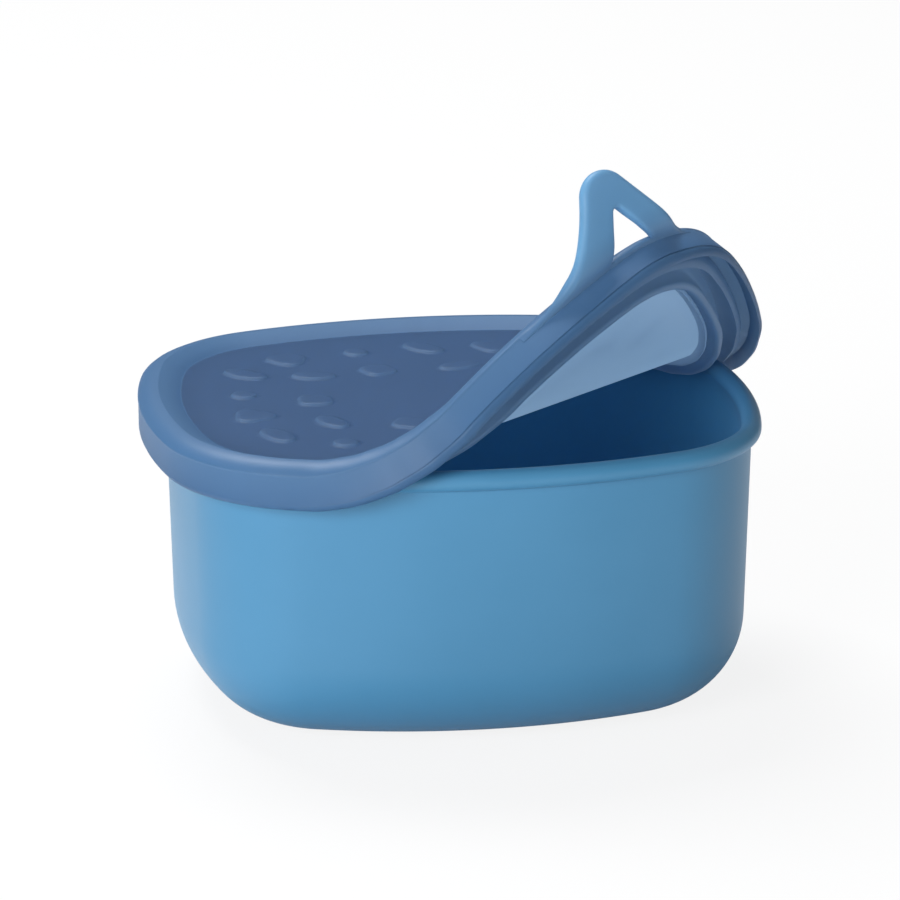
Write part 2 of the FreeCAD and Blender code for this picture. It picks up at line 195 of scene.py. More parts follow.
def inside(points, polygon):
    """Which of the points lie inside a closed polygon."""
    x, y = points[:, 0], points[:, 1]
    found = np.zeros(len(points), bool)
    for (ax, ay), (bx, by) in zip(polygon, np.roll(polygon, -1, axis=0)):
        if ay == by:
            continue
        crosses = (ay > y) != (by > y)
        found ^= crosses & (x < (bx - ax) * (y - ay) / (by - ay) + ax)
    return found


def gap_to(points, polygon):
    """Distance of each point from the nearest corner of a polygon."""
    return np.array([np.min(np.linalg.norm(polygon - p, axis=1)) for p in points])


def inset(polygon, distance):
    """A counterclockwise polygon moved inwards by one distance, or by one for each corner."""
    ahead = np.roll(polygon, -1, axis=0) - polygon
    ahead /= np.linalg.norm(ahead, axis=1)[:, None]
    normal = np.column_stack([-ahead[:, 1], ahead[:, 0]])
    before = np.roll(normal, 1, axis=0)
    share = 1 + np.sum(normal * before, axis=1)
    return polygon + np.reshape(distance, (-1, 1)) * (normal + before) / share[:, None]


def densified(polygon, step):
    """A closed polygon with its long sides divided."""
    points = []
    for a, b in zip(polygon, np.roll(polygon, -1, axis=0)):
        count = max(1, round(np.linalg.norm(b - a) / step))
        points += [a + (b - a) * t for t in np.arange(count) / count]
    return np.array(points)


def hex_grid(low, high, pitch):
    """Points of a triangular grid over a rectangle."""
    rows = []
    for number, y in enumerate(np.arange(low[1], high[1], pitch * math.sqrt(3) / 2)):
        x = np.arange(low[0] + (number % 2) * pitch / 2, high[0], pitch)
        rows.append(np.column_stack([x, np.full(len(x), y)]))
    return np.concatenate(rows)


def filled(rings, points):
    """Triangles over all that closed rings of points bound, with inner points."""
    flat = np.concatenate(rings + ([points] if len(points) else []))
    edges, start = [], 0
    for ring in rings:
        edges += [(start + i, start + (i + 1) % len(ring)) for i in range(len(ring))]
        start += len(ring)
    corners = [Vector(p) for p in flat]
    _, _, faces, origins, _, _ = delaunay_2d_cdt(corners, edges, [], FILL_INSIDE, FILL_CLOSENESS)
    if any(len(o) != 1 for o in origins):
        raise RuntimeError("a sheet's points fall on each other")
    return flat, [tuple(origins[i][0] for i in face) for face in faces]


# Rise of the raised shapes on the lid, the width of their edges, and how many such widths the
# sheet's inner points keep off an outline.
MOTIF_RISE, MOTIF_EDGE, MOTIF_CLEAR = 0.5, 0.36, 1.6
# Steps up a motif's edge: how far out of its outline, in edge widths, and the share of its rise.
MOTIF_STEPS = ((1.0, 0.0), (0.45, 0.22), (0.0, 0.72), (-0.6, 1.0))


def sheet(boundary, pitch, z, shapes=()):
    """A level sheet inside a boundary, with low raised shapes that face up."""
    low, high = boundary.min(axis=0), boundary.max(axis=0)
    grid = hex_grid(low, high, pitch)
    grid = grid[inside(grid, boundary)]
    grid = grid[gap_to(grid, boundary) > pitch * BOUNDARY_SHARE]
    heights = np.zeros(len(grid))
    rings, ring_heights = [boundary], [np.zeros(len(boundary))]
    for shape in shapes:
        near = gap_to(grid, shape) < MOTIF_EDGE * MOTIF_CLEAR
        grid, heights = grid[~near], heights[~near]
        heights[inside(grid, shape)] = MOTIF_RISE
        for out, share in MOTIF_STEPS:
            rings.append(inset(shape, -out * MOTIF_EDGE))
            ring_heights.append(np.full(len(shape), share * MOTIF_RISE))
    flat, faces = filled(rings, grid)
    rise = np.concatenate(ring_heights + [heights])
    return np.column_stack([flat, z + rise]), faces


def joined(parts):
    """Vertices and faces of several meshes as one; their shared points are merged later."""
    verts, faces, start = [], [], 0
    for part_verts, part_faces in parts:
        verts.append(part_verts)
        faces += [tuple(start + i for i in face) for face in part_faces]
        start += len(part_verts)
    return np.concatenate(verts), faces


def new_object(name, verts, faces):
    """A smooth mesh object from vertices in millimetres."""
    mesh = bpy.data.meshes.new(name)
    mesh.from_pydata((np.asarray(verts) * MM).tolist(), [], faces)
    work = bmesh.new()
    work.from_mesh(mesh)
    bmesh.ops.remove_doubles(work, verts=work.verts, dist=MERGE)
    bmesh.ops.recalc_face_normals(work, faces=work.faces)
    work.to_mesh(mesh)
    work.free()
    mesh.shade_smooth()
    thing = bpy.data.objects.new(name, mesh)
    bpy.context.scene.collection.objects.link(thing)
    return thing


# Tub. Its wall leans outwards from the foot to the middle of the rolled rim.
BEAD_CENTRE = np.array([-BEAD, HEIGHT - BEAD])
LEAN = WALL_LEAN / BEAD_CENTRE[1]
SLANT = math.sqrt(1 + LEAN**2)
TILT = math.degrees(math.atan(LEAN))
OUTER_FOOT = -WALL_INSET - WALL_LEAN
INNER_FOOT = OUTER_FOOT - WALL * SLANT
# Points on the arcs and the straight stretches of the tub's section.
OUTER_POINTS, WALL_POINTS, CREASE_POINTS, BEAD_POINTS, INNER_POINTS = 26, 12, 6, 40, 24


def between(start, end):
    """Points between the ends of a straight stretch of the tub's wall."""
    return [start + (end - start) * t for t in np.linspace(0, 1, WALL_POINTS)[1:-1]]


def tub_outside():
    """Line from the edge of the tub's underside to its rolled rim, and the rim's angle there."""
    base = np.array([OUTER_FOOT + BASE_ROUND * (LEAN - SLANT), BASE_ROUND])
    bead_x, bead_z = BEAD_CENTRE
    crease_x = OUTER_FOOT + LEAN * (bead_z - BEAD) + CREASE
    drop = math.sqrt((BEAD + CREASE) ** 2 - (crease_x - bead_x) ** 2)
    crease = np.array([crease_x, bead_z - drop])
    to_bead = math.degrees(math.atan2(drop, bead_x - crease_x))
    line = arc_points(base, BASE_ROUND, -90, -TILT, OUTER_POINTS)
    line += between(line[-1], crease - np.array([CREASE, 0]))
    line += arc_points(crease, CREASE, 180, to_bead, CREASE_POINTS)
    return line, to_bead - 180


def tub_inside():
    """Line from the tub's rolled rim to the edge of its inner floor, and the rim's angle at its start."""
    base_round = BASE_ROUND - WALL
    base_z = FLOOR + base_round
    base = np.array([INNER_FOOT + base_z * LEAN - base_round * SLANT, base_z])
    bead_x, bead_z = BEAD_CENTRE
    from_bead = 360 - math.degrees(math.acos((INNER_FOOT + LEAN * bead_z - bead_x) / BEAD))
    floor_round = arc_points(base, base_round, -TILT, -90, INNER_POINTS)
    return between(BEAD_CENTRE + BEAD * level(from_bead), floor_round[0]) + floor_round, from_bead


def tub_section():
    """Section of the tub from the edge of its underside, over the rim, to its inner floor."""
    outer_line, rim_start = tub_outside()
    inner_line, rim_end = tub_inside()
    rim = arc_points(BEAD_CENTRE, BEAD, rim_start, rim_end, BEAD_POINTS)[1:]
    return np.array(outer_line + rim + inner_line)


def make_tub():
    """The tub: its section carried round the rim, closed by its underside and its inner floor."""
    section = tub_section()
    parts = [swept(section)]
    for outward, z in (section[0], section[-1]):
        parts.append(sheet(RIM + outward * RIM_NORMALS, TUB_PITCH, z))
    return new_object("tub_shell", *joined(parts))


# Lid, flat as it is moulded. Sections are (outward from the rim's edge, up from its top).
# Angles on the shoulder's arc at which the section has a corner, and the rounding of each.
SHOULDER_CORNERS = ((73.0, 0), (58.0, 0), (44.0, 0), (36.0, 0.4))
# Roundings of the section's corners, from the panel over the skirt to the plug.
SLOPE_ROUND, CREST_ROUND, SHOULDER_ROUND, SKIRT_ROUND = 1.0, 0.55, 0.15, 1.6
CHANNEL_ROUND, CHANNEL_FOOT_ROUND, PLUG_ROUND = 2.85, 1.2, 0.9
# The parting line: a small step in the skirt's outer face, with its two heights and roundings.
PARTING_STEP, PARTING_TOP, PARTING_FOOT = 0.12, 0.08, -0.15
PARTING_TOP_ROUND, PARTING_FOOT_ROUND = 0.1, 0.2
# The rim's channel: depth at which the plug starts to lean away, and how far its face leans there.
CHANNEL_DEPTH, CHANNEL_DRAFT = 2.6, 0.02


def shoulder_arc():
    """Corners (x, z, radius) along the arc between the lid's crest and its shoulder."""
    crest = np.array([-CREST_INSET, CREST_RISE])
    shoulder = np.array([RIM_CLEARANCE + SKIRT_WALL, SHOULDER_RISE])
    chord = shoulder - crest
    length = np.linalg.norm(chord)
    below = math.sqrt(SHOULDER_RADIUS**2 - (length / 2) ** 2)
    centre = (crest + shoulder) / 2 + np.array([chord[1], -chord[0]]) / length * below
    return [(*(centre + SHOULDER_RADIUS * level(angle)), radius) for angle, radius in SHOULDER_CORNERS]


def lid_section():
    """Section of the lid's edge from its panel's top, over skirt and plug, to its underside."""
    skirt_in = RIM_CLEARANCE
    skirt_out = skirt_in + SKIRT_WALL
    skirt_face = skirt_out - PARTING_STEP
    plug_out = -2 * BEAD - PLUG_CLEARANCE
    under = PANEL_RISE - PANEL_THICKNESS
    section = rounded([
        (-PANEL_INSET, PANEL_RISE, 0),
        (-SLOPE_INSET, PANEL_RISE, SLOPE_ROUND),
        (-CREST_INSET, CREST_RISE, CREST_ROUND),
        *shoulder_arc(),
        (skirt_out, SHOULDER_RISE, SHOULDER_ROUND),
        (skirt_out, PARTING_TOP, PARTING_TOP_ROUND),
        (skirt_face, PARTING_FOOT, PARTING_FOOT_ROUND),
        (skirt_face, -SKIRT_DEPTH, SKIRT_ROUND),
        (skirt_in, -SKIRT_DEPTH, SKIRT_ROUND),
        (skirt_in, RIM_CLEARANCE, CHANNEL_ROUND),
        (plug_out, RIM_CLEARANCE, CHANNEL_ROUND),
        (plug_out - CHANNEL_DRAFT, -CHANNEL_DEPTH, CHANNEL_FOOT_ROUND),
        (-PLUG_TOE_INSET, -PLUG_DEPTH, PLUG_ROUND),
        (-PLUG_BACK_INSET, -PLUG_DEPTH, PLUG_ROUND),
        (-PLUG_BACK_INSET, under, PLUG_ROUND),
        (-PANEL_INSET, under, 0),
    ])
    section[:, 1] += HEIGHT
    return section


# Raised shapes. An oval has a half length and a half width, and the others have a count of
# corners and the share by which these stand out of a circle.
MOTIF_POINTS = 44
OVAL_LENGTH, OVAL_WIDTH = 1.25, 0.68
MOTIF_CORNERS = {"disc": (0, 0.0), "triangle": (3, 0.13), "square": (4, 0.075)}
# Rows of shapes: inset, count, place of the first in steps, kinds in turn, and size.
MOTIF_ROWS = (
    (19.0, 18, 0.0, ("oval", "disc", "triangle"), 4.2),
    (34.0, 11, 0.5, ("square", "oval"), 3.8),
)
# Size of a disc as a share of its row's, and how much further each shape is turned than the last.
DISC_SHARE, MOTIF_SPIN = 0.62, 37.0


def motif_outline(kind, centre, turn, size):
    """Outline of a plain raised shape, counterclockwise."""
    angles = np.radians(np.linspace(0, 360, MOTIF_POINTS, endpoint=False))
    if kind == "oval":
        radius = 1 / np.hypot(np.cos(angles) / OVAL_LENGTH, np.sin(angles) / OVAL_WIDTH)
    else:
        corners, bulge = MOTIF_CORNERS[kind]
        radius = 1 + bulge * np.cos(corners * angles)
    around = angles + math.radians(turn)
    return centre + size * np.column_stack([radius * np.cos(around), radius * np.sin(around)])


def motifs():
    """Two rows of plain shapes that follow the panel's edge."""
    shapes = []
    for back, count, first, kinds, size in MOTIF_ROWS:
        line = RIM - back * RIM_NORMALS
        steps = np.linalg.norm(np.roll(line, -1, axis=0) - line, axis=1)
        along = np.concatenate([[0], np.cumsum(steps)[:-1]])
        for number in range(count):
            want = (number + first) / count * steps.sum()
            index = int(np.argmin(np.abs(along - want)))
            kind = kinds[number % len(kinds)]
            turn = bearing_of(RIM_NORMALS[index]) + MOTIF_SPIN * number
            width = size * DISC_SHARE if kind == "disc" else size
            shapes.append(motif_outline(kind, line[index], turn, width))
    return shapes


# Pull loop. Its edges are rounded by these radii, in this many rows of points.
LOOP_EDGE, HOLE_EDGE, EDGE_ROWS = 1.35, 0.9, 7
# How far the loop's seat lies inside the skirt's outer face, and how far out its top slopes.
LOOP_SEAT, LOOP_SLOPE = 3.0, 3.5
LOOP_CORNER = corner_centre() * (1, -1)
CORNER_RING = CORNER_RADIUS + RIM_CLEARANCE + SKIRT_WALL
FRONT_RING = LONG_RADIUS + RIM_CLEARANCE + SKIRT_WALL
FRONT_CENTRE = np.array([0.0, LONG_RADIUS - HALF_WIDTH])
HOLE_RING = CORNER_RING + HOLE_INSET
LOOP_TIP_CENTRE = LOOP_CORNER + level(LOOP_BEARING) * (CORNER_RING + LOOP_REACH)
# Points on the arcs of the loop's outline and of its hole's.
LEFT_POINTS, TIP_POINTS, RIGHT_POINTS, CORNER_POINTS, FRONT_POINTS = 24, 40, 16, 24, 16
APEX_POINTS, FOOT_POINTS = 20, 14


def beyond_skirt(points):
    """How far points near the loop lie outside the skirt's outer face."""
    from_corner, from_front = points - LOOP_CORNER, points - FRONT_CENTRE
    joint = LOOP_CORNER - FRONT_CENTRE
    on_front = joint[0] * from_corner[:, 1] - joint[1] * from_corner[:, 0] < 0
    return np.where(
        on_front,
        np.linalg.norm(from_front, axis=1) - FRONT_RING,
        np.linalg.norm(from_corner, axis=1) - CORNER_RING,
    )


def leg_bearings(side):
    """Bearings square to a leg, out of the loop, and along it; the left side is -1."""
    return LOOP_BEARING + side * (90 - LOOP_LEAN), LOOP_BEARING - side * LOOP_LEAN


def leg_root(side, radius, centre, ring):
    """Centre of the arc between a leg and the skirt, and its bearing from the skirt's centre."""
    outward, along = (level(bearing) for bearing in leg_bearings(side))
    aside = (LOOP_TIP_CENTRE - centre) @ outward + LOOP_TIP + radius
    root = centre + outward * aside + along * math.sqrt((ring + radius) ** 2 - aside**2)
    return root, bearing_of(root - centre)


def loop_outline():
    """The pull loop's outline on the lid's plane, from its left root over its tip to its seat."""
    root_left, to_left = leg_root(-1, LEFT_ROOT, FRONT_CENTRE, FRONT_RING)
    root_right, to_right = leg_root(1, RIGHT_ROOT, LOOP_CORNER, CORNER_RING)
    out_left, out_right = leg_bearings(-1)[0], leg_bearings(1)[0]
    joint = bearing_of(LOOP_CORNER - FRONT_CENTRE)
    return np.array(
        arc_points(root_left, LEFT_ROOT, to_left + 180, out_left + 180, LEFT_POINTS)
        + arc_points(LOOP_TIP_CENTRE, LOOP_TIP, out_left, out_right, TIP_POINTS)
        + arc_points(root_right, RIGHT_ROOT, out_right + 180, to_right + 180, RIGHT_POINTS)
        + arc_points(LOOP_CORNER, CORNER_RING - LOOP_SEAT, to_right, joint, CORNER_POINTS)
        + arc_points(FRONT_CENTRE, FRONT_RING - LOOP_SEAT, joint, to_left, FRONT_POINTS)[1:]
    )


def hole_side(side, width):
    """How far a side of the loop's hole lies from the corner's centre, and where it ends."""
    outward, along = (level(bearing) for bearing in leg_bearings(side))
    edge = (LOOP_TIP_CENTRE - LOOP_CORNER) @ outward + LOOP_TIP - width
    return edge, LOOP_CORNER + outward * edge + along * math.sqrt(HOLE_RING**2 - edge**2)


def hole_outline():
    """The outline of the loop's hole: a triangle with a rounded apex and a foot along the skirt."""
    edge_left, foot_left = hole_side(-1, LEFT_LEG)
    edge_right, foot_right = hole_side(1, RIGHT_LEG)
    lean = math.radians(LOOP_LEAN)
    ahead = (edge_left + edge_right - 2 * HOLE_ROUND) / (2 * math.sin(lean))
    aside = (edge_right - edge_left) / (2 * math.cos(lean))
    apex = LOOP_CORNER + level(LOOP_BEARING) * ahead + level(LOOP_BEARING + 90) * aside
    out_left, out_right = leg_bearings(-1)[0], leg_bearings(1)[0]
    start, end = bearing_of(foot_right - LOOP_CORNER), bearing_of(foot_left - LOOP_CORNER)
    return np.array(
        [foot_left]
        + arc_points(apex, HOLE_ROUND, out_left, out_right, APEX_POINTS)
        + arc_points(LOOP_CORNER, HOLE_RING, start, end, FOOT_POINTS)[:-1]
    )


def loop_edge(polygon, edge, inward):
    """Rounded side of the loop along an outline, where it shows, and the edge of its flat faces."""
    shown = np.clip(beyond_skirt(polygon), 0, 1) if inward > 0 else np.ones(len(polygon))
    rows = []
    for angle in np.radians(np.linspace(0, 90, EDGE_ROWS)):
        rows.append((edge * (1 - math.sin(angle)), LOOP_LOW + edge * (1 - math.cos(angle))))
    rows += [(d, LOOP_LOW + LOOP_HIGH - z) for d, z in reversed(rows)]
    lines = [inset(polygon, inward * d * shown) for d, _ in rows]
    verts = np.concatenate([np.column_stack([p, np.full(len(p), z)]) for p, (_, z) in zip(lines, rows)])
    count = len(polygon)
    faces = []
    for row in range(len(rows) - 1):
        a, b = row * count, (row + 1) * count
        faces += [(a + i, a + (i + 1) % count, b + (i + 1) % count, b + i) for i in range(count)]
    return (verts, faces), lines[0]


def loop_flats(outline, outer_edge, hole_edge):
    """The loop's flat underside and top, between the edges of its rounded sides."""
    grid = hex_grid(outline.min(axis=0), outline.max(axis=0), LOOP_PITCH)
    grid = grid[inside(grid, outer_edge) & ~inside(grid, hole_edge)]
    for line in (outer_edge, hole_edge):
        grid = grid[gap_to(grid, line) > LOOP_CLEAR]
    flat, faces = filled([outer_edge, hole_edge], grid)
    middles = np.array([flat[list(face)].mean(axis=0) for face in faces])
    faces = [face for face, within in zip(faces, inside(middles, hole_edge)) if not within]
    return [(np.column_stack([flat, np.full(len(flat), z)]), faces) for z in (LOOP_LOW, LOOP_HIGH)]


def make_loop():
    """The pull loop; its top sinks to the skirt's shoulder where the two meet."""
    outline = densified(loop_outline(), LOOP_STEP)
    outer_side, outer_edge = loop_edge(outline, LOOP_EDGE, 1)
    hole_wall, hole_edge = loop_edge(densified(hole_outline(), LOOP_STEP), HOLE_EDGE, -1)
    verts, faces = joined([outer_side, hole_wall] + loop_flats(outline, outer_edge, hole_edge))
    near = 1 - np.clip(beyond_skirt(verts[:, :2]) / LOOP_SLOPE, 0, 1)
    height = (verts[:, 2] - LOOP_LOW) / (LOOP_HIGH - LOOP_LOW)
    verts[:, 2] -= height * (LOOP_HIGH - SHOULDER_RISE) * smooth(near)
    verts[:, 2] += HEIGHT
    return new_object("loop_flat", verts, faces)


def make_flat_lid():
    """Mesh of the whole lid with its raised shapes and its loop, before it bends."""
    section = lid_section()
    edge = RIM + section[0, 0] * RIM_NORMALS
    parts = [
        swept(section),
        sheet(edge, PANEL_PITCH, section[0, 1], motifs()),
        sheet(edge, UNDERSIDE_PITCH, section[-1, 1]),
    ]
    lid = new_object("lid_flat", *joined(parts))
    loop = make_loop()
    union = lid.modifiers.new("union", "BOOLEAN")
    union.operation = "UNION"
    union.solver = "EXACT"
    union.object = loop
    graph = bpy.context.evaluated_depsgraph_get()
    mesh = bpy.data.meshes.new_from_object(lid.evaluated_get(graph))
    bpy.data.objects.remove(lid)
    bpy.data.objects.remove(loop)
    return mesh


# Bending of the lid. A fold is its place on the lid's plane, its bearing, its turn
# and how far either side of it the lid bends.
Fold = namedtuple("Fold", "place bearing turn reach")
FOLDS = [
    Fold(level(PEEL_BEARING) * (FIRST_FOLD + k * FOLD_PITCH), PEEL_BEARING, FOLD_TURN, FOLD_PITCH / 2)
    for k in range(LID_FOLDS)
]
LOOP_ROOT = LOOP_CORNER + level(LOOP_BEARING) * (CORNER_RING + LOOP_FOLD)
FOLDS.append(Fold(LOOP_ROOT, LOOP_BEARING, LOOP_TURN, LOOP_BEND))

# Share of an even bend in the lid's rest shape. The rest follows the bend that the posed
# lid takes round each fold, so that neither the peeled lid nor the closed one ripples.
EVEN_SHARE = 0.5
# Rounds in which the places of a bend and its shares of the turn settle.
BEND_ROUNDS = 60


def to_fold(points, fold):
    """Points as (ahead of the fold line, along it, above it)."""
    offset = points[:, :2] - fold.place
    ahead, along = offset @ level(fold.bearing), offset @ level(fold.bearing + 90)
    return np.column_stack([ahead, along, points[:, 2] - FOLD_Z])


def from_fold(points, fold):
    """Points in the part's frame from (ahead of the fold line, along it, above it)."""
    flat = fold.place + points[:, :1] * level(fold.bearing) + points[:, 1:2] * level(fold.bearing + 90)
    return np.column_stack([flat, points[:, 2] + FOLD_Z])


def turned(points, fold, share=1.0):
    """Points turned up about a fold by a share of its turn."""
    local = to_fold(points, fold)
    angle = np.radians(fold.turn) * share
    c, s = np.cos(angle), np.sin(angle)
    x, z = local[:, 0], local[:, 2]
    return from_fold(np.column_stack([x * c - z * s, local[:, 1], x * s + z * c]), fold)


def evenly_bent(points, fold):
    """Points bent round an arc that touches the lid at both ends of the bend."""
    reach = fold.reach
    local = to_fold(points, fold)
    radius = reach / math.tan(math.radians(fold.turn) / 2)
    angle = np.radians(fold.turn) * np.clip(local[:, 0] / (2 * reach) + 0.5, 0, 1)
    before = np.minimum(local[:, 0] + reach, 0)
    beyond = np.maximum(local[:, 0] - reach, 0)
    c, s = np.cos(angle), np.sin(angle)
    x = before - reach + radius * s + beyond * c - local[:, 2] * s
    z = radius * (1 - c) + beyond * s + local[:, 2] * c
    return from_fold(np.column_stack([x, local[:, 1], z]), fold)


def lifted(points, number):
    """Points beyond a count of folds, turned up by all those folds."""
    for fold in reversed(FOLDS[:number]):
        points = turned(points, fold)
    return points


def bend_ends(number):
    """Where the bend round a fold starts and ends, in the part's frame."""
    fold = FOLDS[number]
    start = from_fold(np.array([[-fold.reach, 0, 0]]), fold)
    end = from_fold(np.array([[fold.reach, 0, 0]]), fold)
    return lifted(start, number)[0], lifted(end, number + 1)[0]


def bent(flat, number):
    """Rest places of flat points whose bend is the one round a fold."""
    fold = FOLDS[number]
    start, end = bend_ends(number)
    run = end - start
    even = evenly_bent(flat, fold)

    def places(share):
        """Rest places for each point's share of the fold's turn."""
        return lifted(EVEN_SHARE * even + (1 - EVEN_SHARE) * turned(flat, fold, share), number)

    share = np.clip(to_fold(flat, fold)[:, 0] / (2 * fold.reach) + 0.5, 0, 1)
    for _ in range(BEND_ROUNDS):
        share = smooth(np.clip((places(share) - start) @ run / (run @ run), 0, 1))
    return places(share)


# How far the thin panel's edge lies outward of the rim's, on the lid's top and on its underside.
PANEL_EDGES = (-5.6, -8.4)
# How far out of the skirt the loop's painted glow grows to full strength, a lighter tone that stands in
# for light shining through the thin loop, and the margin round its outline.
LOOP_GLOW_REACH, GLOW_MARGIN = 7.0, 0.1


def in_panel(points):
    """Whether flat points lie on the thin panel."""
    top, under = (inside(points[:, :2], RIM + edge * RIM_NORMALS) for edge in PANEL_EDGES)
    return np.where(points[:, 2] > HEIGHT, top, under)


def painted_loop_glow(points):
    """Share of the loop's painted glow at flat points: a lighter tone standing in for light through the
    thin loop.
    """
    in_loop = inside(points[:, :2], inset(loop_outline(), -GLOW_MARGIN))
    return in_loop * np.clip(beyond_skirt(points[:, :2]) / LOOP_GLOW_REACH, 0, 1)


def glue(mesh, name, kind, field, values):
    """Store values on a mesh's vertices."""
    store = mesh.attributes.new(name, kind, "POINT")
    store.data.foreach_set(field, np.asarray(values, np.float32).ravel())


def cut_out(flat, number, name):
    """Mesh of the flat lid from the start of one bend to the start of the next."""
    cuts = []
    if number > 0:
        cuts.append((FOLDS[number], "clear_inner"))
    if number + 1 < len(FOLDS):
        cuts.append((FOLDS[number + 1], "clear_outer"))
    work = bmesh.new()
    work.from_mesh(flat)
    for fold, clear in cuts:
        ahead = level(fold.bearing)
        place = (fold.place - fold.reach * ahead) * MM
        plane = {"plane_co": Vector((*place, 0)), "plane_no": Vector((*ahead, 0)), clear: True}
        everything = work.verts[:] + work.edges[:] + work.faces[:]
        bmesh.ops.bisect_plane(work, geom=everything, dist=MERGE, **plane)
    mesh = bpy.data.meshes.new(name)
    work.to_mesh(mesh)
    work.free()
    return mesh


def make_lid():
    """The lid as pieces that each bend round one fold."""
    flat = make_flat_lid()
    pieces = []
    for number in range(len(FOLDS)):
        name = "lid_seated" if number == 0 else f"lid_bend_{number + 1}"
        mesh = cut_out(flat, number, name)
        middles = np.array([face.center for face in mesh.polygons], float)
        mesh.polygons.foreach_set("material_index", in_panel(middles / MM).astype(int))
        places = np.array([v.co for v in mesh.vertices], float)
        glue(mesh, "flat_place", "FLOAT_VECTOR", "vector", places)
        glue(mesh, "painted_loop_glow", "FLOAT", "value", painted_loop_glow(places / MM))
        rest = bent(places / MM, number) * MM
        mesh.vertices.foreach_set("co", rest.astype(np.float32).ravel())
        mesh.update()
        mesh.shade_smooth()
        mesh.set_sharp_from_angle(angle=LID_SHARP)
        piece = bpy.data.objects.new(name, mesh)
        bpy.context.scene.collection.objects.link(piece)
        pieces.append(piece)
    return pieces


# Materials. A pair of tones is what a surface's colour drifts between.
TUB_TONES = (0.062, 0.246, 0.438), (0.070, 0.262, 0.462)
RIM_TONES = (0.058, 0.160, 0.330), (0.066, 0.176, 0.355)
PANEL_TONES = (0.092, 0.178, 0.325), (0.104, 0.194, 0.350)
# The loop's colour is painted glow: a lighter tone that stands in for light shining through the thin
# loop.
LOOP_GLOW_COLOUR, THROUGH_COLOUR = (0.155, 0.400, 0.660, 1), (0.60, 0.77, 0.93, 1)
# Shares of the lid's shader that let light through, for its thick edge and its thin panel.
RIM_THROUGH, PANEL_THROUGH = 0.36, 0.66
TUB_ROUGHNESS, LID_ROUGHNESS = 0.43, 0.46
SHEEN, SHEEN_ROUGHNESS = 0.06, 0.35
# The drift of the tones and the moulded grain: scales of their noise, and the grain's strength.
TUB_DRIFT, TUB_GRAIN, TUB_GRAIN_STRENGTH = 28.0, 2600.0, 0.08
LID_DRIFT, LID_GRAIN, LID_GRAIN_STRENGTH = 35.0, 3000.0, 0.14
DRIFT_DETAIL, GRAIN_DETAIL = 4.0, 2.0
# Values of the noise at which the first tone ends and the second starts.
DRIFT_ENDS = (0.3, 0.7)
# Depth of the grain in metres.
GRAIN_DEPTH = 0.0002


def new_material(name):
    """A new material with its nodes and links."""
    material = bpy.data.materials.new(name)
    material.use_nodes = True
    nodes, links = material.node_tree.nodes, material.node_tree.links
    return material, nodes, links


def noise(nodes, links, vector, scale, detail):
    """Noise over a vector, from 0 to 1."""
    node = nodes.new("ShaderNodeTexNoise")
    node.inputs["Scale"].default_value = scale
    node.inputs["Detail"].default_value = detail
    links.new(vector, node.inputs["Vector"])
    return node.outputs["Fac"]


def mottled(nodes, links, place, scale, tones):
    """Colour that drifts a little between two tones."""
    ramp = nodes.new("ShaderNodeValToRGB")
    for element, position, colour in zip(ramp.color_ramp.elements, DRIFT_ENDS, tones):
        element.position = position
        element.color = (*colour, 1)
    links.new(noise(nodes, links, place, scale, DRIFT_DETAIL), ramp.inputs["Fac"])
    return ramp.outputs["Color"]


def grained(nodes, links, place, scale, strength):
    """Normal of a fine moulded grain."""
    bump = nodes.new("ShaderNodeBump")
    bump.inputs["Strength"].default_value = strength
    bump.inputs["Distance"].default_value = GRAIN_DEPTH
    links.new(noise(nodes, links, place, scale, GRAIN_DETAIL), bump.inputs["Height"])
    return bump.outputs["Normal"]


def mixed(nodes, links, first, second, output):
    """Two shaders mixed into an output node; returns the socket for the second one's share."""
    mix = nodes.new("ShaderNodeMixShader")
    links.new(first, mix.inputs[1])
    links.new(second, mix.inputs[2])
    links.new(mix.outputs["Shader"], nodes[output].inputs["Surface"])
    return mix.inputs["Fac"]


def attribute(nodes, name):
    """Node that reads values stored on a mesh."""
    node = nodes.new("ShaderNodeAttribute")
    node.attribute_name = name
    return node


def tub_material():
    """Opaque satin silicone."""
    material, nodes, links = new_material("tub_silicone")
    shader = nodes["Principled BSDF"]
    place = nodes.new("ShaderNodeTexCoord").outputs["Object"]
    links.new(mottled(nodes, links, place, TUB_DRIFT, TUB_TONES), shader.inputs["Base Color"])
    links.new(grained(nodes, links, place, TUB_GRAIN, TUB_GRAIN_STRENGTH), shader.inputs["Normal"])
    shader.inputs["Roughness"].default_value = TUB_ROUGHNESS
    shader.inputs["Sheen Weight"].default_value = SHEEN
    shader.inputs["Sheen Roughness"].default_value = SHEEN_ROUGHNESS
    return material


def lid_material(name, tones, share):
    """Frosted silicone that lets a share of the light through, with a painted glow on the thin loop."""
    material, nodes, links = new_material(name)
    shader = nodes["Principled BSDF"]
    place = attribute(nodes, "flat_place").outputs["Vector"]
    # Mix of the drifting tones with the loop's painted glow, a lighter colour in place of light through
    # the thin loop.
    tone = nodes.new("ShaderNodeMix")
    tone.data_type = "RGBA"
    tone.inputs["B"].default_value = LOOP_GLOW_COLOUR
    links.new(attribute(nodes, "painted_loop_glow").outputs["Fac"], tone.inputs["Factor"])
    links.new(mottled(nodes, links, place, LID_DRIFT, tones), tone.inputs["A"])
    links.new(tone.outputs["Result"], shader.inputs["Base Color"])
    links.new(grained(nodes, links, place, LID_GRAIN, LID_GRAIN_STRENGTH), shader.inputs["Normal"])
    shader.inputs["Roughness"].default_value = LID_ROUGHNESS
    through = nodes.new("ShaderNodeBsdfTranslucent")
    through.inputs["Color"].default_value = THROUGH_COLOUR
    factor = mixed(nodes, links, shader.outputs["BSDF"], through.outputs["BSDF"], "Material Output")
    factor.default_value = share
    return material


tub = make_tub()
tub.data.set_sharp_from_angle(angle=TUB_SHARP)
tub.data.materials.append(tub_material())
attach(tub, "tub")
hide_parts("tub")

